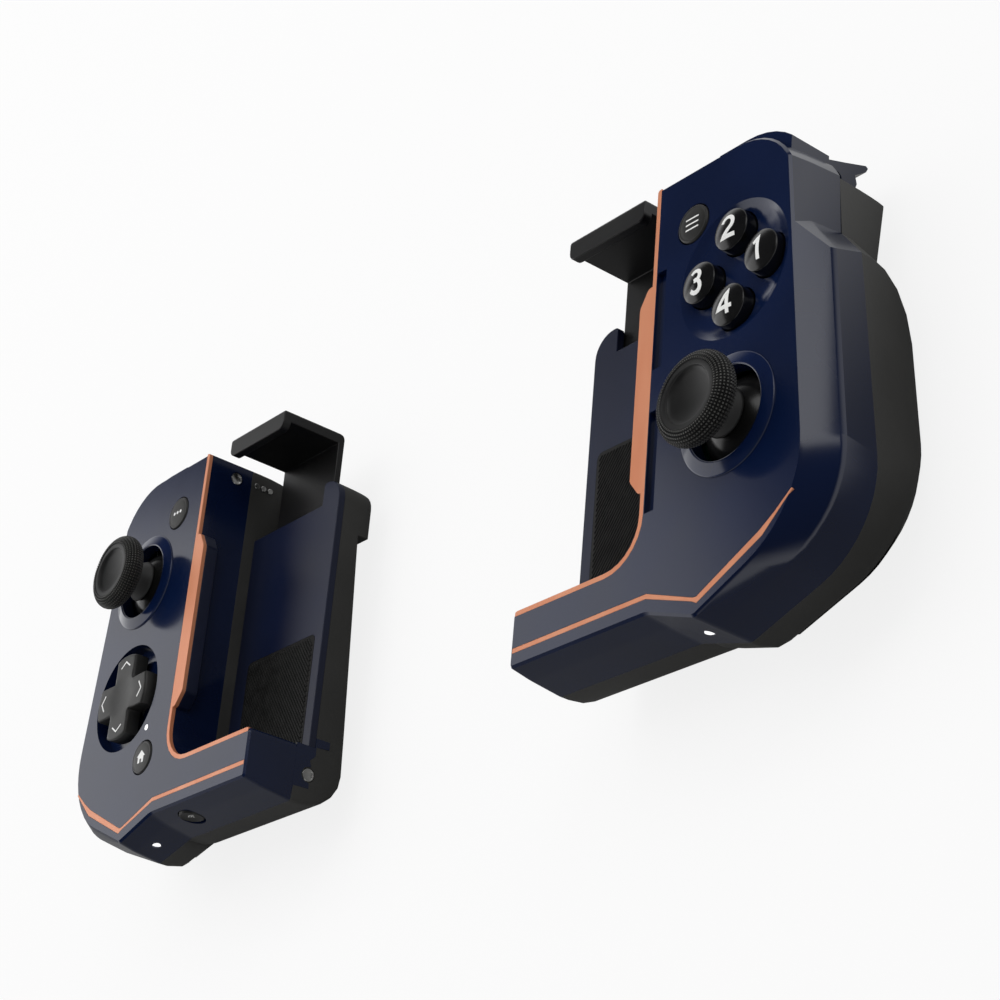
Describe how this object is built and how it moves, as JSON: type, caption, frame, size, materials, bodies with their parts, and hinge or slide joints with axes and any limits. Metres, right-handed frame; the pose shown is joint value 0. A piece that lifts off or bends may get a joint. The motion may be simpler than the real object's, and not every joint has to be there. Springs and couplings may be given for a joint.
{
  "type": "mobile game controller",
  "caption": "Split handheld game controller whose two grip halves clamp onto the ends of a phone, with thumbsticks, a direction pad, round buttons, bumpers and triggers.",
  "frame": {"origin": "middle of the bounding box on the plane that the palm grips rest on", "axes": "+X along the phone's length, from the left half to the right half; +Y up the phone's short side, from the foot to the clamps; +Z out of the front face"},
  "size_m": [0.2574, 0.1, 0.0409],
  "materials": {
    "shell": "gloss moulded navy plastic",
    "cover": "fine textured charcoal plastic",
    "copper": "satin copper-coloured paint",
    "rubber": "ribbed",
    "clamp": "satin",
    "steel": "plain",
    "collar": "gloss",
    "stick": "soft, knurled rim",
    "acetal": "bare",
    "module": "bare",
    "board": "solder mask",
    "membrane": "silicone",
    "pouch": "foil",
    "magnet": "nickel plated",
    "contact": "gold plated",
    "lamp": "clear",
    "button": "gloss",
    "pad": "satin",
    "port": "plain"
  },
  "bodies": {
    "left_half": {"left_front_shell": "shell", "left_back_cover": "cover", "left_phone_bed": "shell", "left_edge_trim": "copper", "left_accent_line": "copper", "left_phone_pad": "rubber", "left_tab": "shell", "left_clamp_spring": "steel", "left_stick_collar": "collar", "left_stick_module": "module", "left_main_board": "board", "left_button_pad": "membrane", "left_battery": "pouch", "left_trigger_pin": "steel", "left_magnets": "magnet", "left_contacts": "contact", "left_light_pipes": "lamp", "left_screws": "steel", "usb_port": "port"},
    "right_half": {"right_front_shell": "shell", "right_back_cover": "cover", "right_phone_bed": "shell", "right_edge_trim": "copper", "right_accent_line": "copper", "right_phone_pad": "rubber", "right_tab": "shell", "right_clamp_spring": "steel", "right_stick_collar": "collar", "right_stick_module": "module", "right_main_board": "board", "right_button_pad": "membrane", "right_battery": "pouch", "right_trigger_pin": "steel", "right_magnets": "magnet", "right_contacts": "contact", "right_light_pipes": "lamp", "right_screws": "steel"},
    "left_clamp": {"left_clamp": "clamp"},
    "left_yoke": {"left_stick_yoke": "acetal"},
    "left_rocker": {"left_stick_rocker": "acetal"},
    "left_stick": {"left_thumbstick": "stick"},
    "left_bumper": {"left_bumper": "shell"},
    "left_trigger": {"left_trigger": "shell"},
    "right_clamp": {"right_clamp": "clamp"},
    "right_yoke": {"right_stick_yoke": "acetal"},
    "right_rocker": {"right_stick_rocker": "acetal"},
    "right_stick": {"right_thumbstick": "stick"},
    "right_bumper": {"right_bumper": "shell"},
    "right_trigger": {"right_trigger": "shell"},
    "view_button": {"view_button": "button"},
    "home_button": {"home_button": "button"},
    "menu_button": {"menu_button": "button"},
    "action_button_1": {"action_button_1": "button"},
    "action_button_2": {"action_button_2": "button"},
    "action_button_3": {"action_button_3": "button"},
    "action_button_4": {"action_button_4": "button"},
    "pair_button": {"pair_button": "button"},
    "direction_spider": {"direction_spider": "acetal"},
    "direction_pad": {"direction_pad": "pad"}
  },
  "joints": [
    {"name": "half_spacing", "type": "slide", "parent": "left_half", "child": "right_half", "axis": [1, 0, 0], "range_m": [-0.0913, 0.015]},
    {"name": "left_clamp_slide", "type": "slide", "parent": "left_half", "child": "left_clamp", "axis": [0, 1, 0], "range_m": [-0.011, 0.014]},
    {"name": "left_stick_up_down", "type": "hinge", "parent": "left_half", "child": "left_yoke", "pos_m": [-0.1039, 0.01985, 0.0205], "axis": [1, 0, 0], "range_deg": [-18, 18], "stiffness_Nm_per_rad": 0.03},
    {"name": "left_stick_sideways", "type": "hinge", "parent": "left_yoke", "child": "left_rocker", "pos_m": [-0.1039, 0.01985, 0.0205], "axis": [0, 1, 0], "range_deg": [-18, 18], "stiffness_Nm_per_rad": 0.03},
    {"name": "left_stick_click", "type": "slide", "parent": "left_rocker", "child": "left_stick", "axis": [0, 0, 1], "range_m": [-0.0005, 0], "stiffness_N_per_m": 3000},
    {"name": "left_bumper_press", "type": "hinge", "parent": "left_half", "child": "left_bumper", "pos_m": [-0.092, 0.04295, 0.0235], "axis": [0, 0, 1], "range_deg": [0, 2.5], "stiffness_Nm_per_rad": 0.7},
    {"name": "left_trigger_pull", "type": "hinge", "parent": "left_half", "child": "left_trigger", "pos_m": [-0.1002, 0.04275, 0.0149], "axis": [1, 0, 0], "range_deg": [-14, 0], "stiffness_Nm_per_rad": 0.06},
    {"name": "right_clamp_slide", "type": "slide", "parent": "right_half", "child": "right_clamp", "axis": [0, 1, 0], "range_m": [-0.011, 0.014]},
    {"name": "right_stick_up_down", "type": "hinge", "parent": "right_half", "child": "right_yoke", "pos_m": [0.1039, -0.01085, 0.0205], "axis": [1, 0, 0], "range_deg": [-18, 18], "stiffness_Nm_per_rad": 0.03},
    {"name": "right_stick_sideways", "type": "hinge", "parent": "right_yoke", "child": "right_rocker", "pos_m": [0.1039, -0.01085, 0.0205], "axis": [0, 1, 0], "range_deg": [-18, 18], "stiffness_Nm_per_rad": 0.03},
    {"name": "right_stick_click", "type": "slide", "parent": "right_rocker", "child": "right_stick", "axis": [0, 0, 1], "range_m": [-0.0005, 0], "stiffness_N_per_m": 3000},
    {"name": "right_bumper_press", "type": "hinge", "parent": "right_half", "child": "right_bumper", "pos_m": [0.092, 0.04295, 0.0235], "axis": [0, 0, 1], "range_deg": [-2.5, 0], "stiffness_Nm_per_rad": 0.7},
    {"name": "right_trigger_pull", "type": "hinge", "parent": "right_half", "child": "right_trigger", "pos_m": [0.1002, 0.04275, 0.0149], "axis": [1, 0, 0], "range_deg": [-14, 0], "stiffness_Nm_per_rad": 0.06},
    {"name": "view_button_press", "type": "slide", "parent": "left_half", "child": "view_button", "axis": [0, 0, 1], "range_m": [-0.0009, 0], "stiffness_N_per_m": 1500},
    {"name": "home_button_press", "type": "slide", "parent": "left_half", "child": "home_button", "axis": [0, 0, 1], "range_m": [-0.0009, 0], "stiffness_N_per_m": 1500},
    {"name": "menu_button_press", "type": "slide", "parent": "right_half", "child": "menu_button", "axis": [0, 0, 1], "range_m": [-0.0009, 0], "stiffness_N_per_m": 1500},
    {"name": "action_button_1_press", "type": "slide", "parent": "right_half", "child": "action_button_1", "axis": [0, 0, 1], "range_m": [-0.0009, 0], "stiffness_N_per_m": 1500},
    {"name": "action_button_2_press", "type": "slide", "parent": "right_half", "child": "action_button_2", "axis": [0, 0, 1], "range_m": [-0.0009, 0], "stiffness_N_per_m": 1500},
    {"name": "action_button_3_press", "type": "slide", "parent": "right_half", "child": "action_button_3", "axis": [0, 0, 1], "range_m": [-0.0009, 0], "stiffness_N_per_m": 1500},
    {"name": "action_button_4_press", "type": "slide", "parent": "right_half", "child": "action_button_4", "axis": [0, 0, 1], "range_m": [-0.0009, 0], "stiffness_N_per_m": 1500},
    {"name": "pair_button_press", "type": "slide", "parent": "left_half", "child": "pair_button", "axis": [0, 1, 0], "range_m": [0, 0.0008], "stiffness_N_per_m": 1500},
    {"name": "direction_pad_up_down", "type": "hinge", "parent": "left_half", "child": "direction_spider", "pos_m": [-0.1039, -0.01085, 0.0219], "axis": [1, 0, 0], "range_deg": [-5, 5], "stiffness_Nm_per_rad": 0.2},
    {"name": "direction_pad_sideways", "type": "hinge", "parent": "direction_spider", "child": "direction_pad", "pos_m": [-0.1039, -0.01085, 0.0219], "axis": [0, 1, 0], "range_deg": [-5, 5], "stiffness_Nm_per_rad": 0.2}
  ]
}
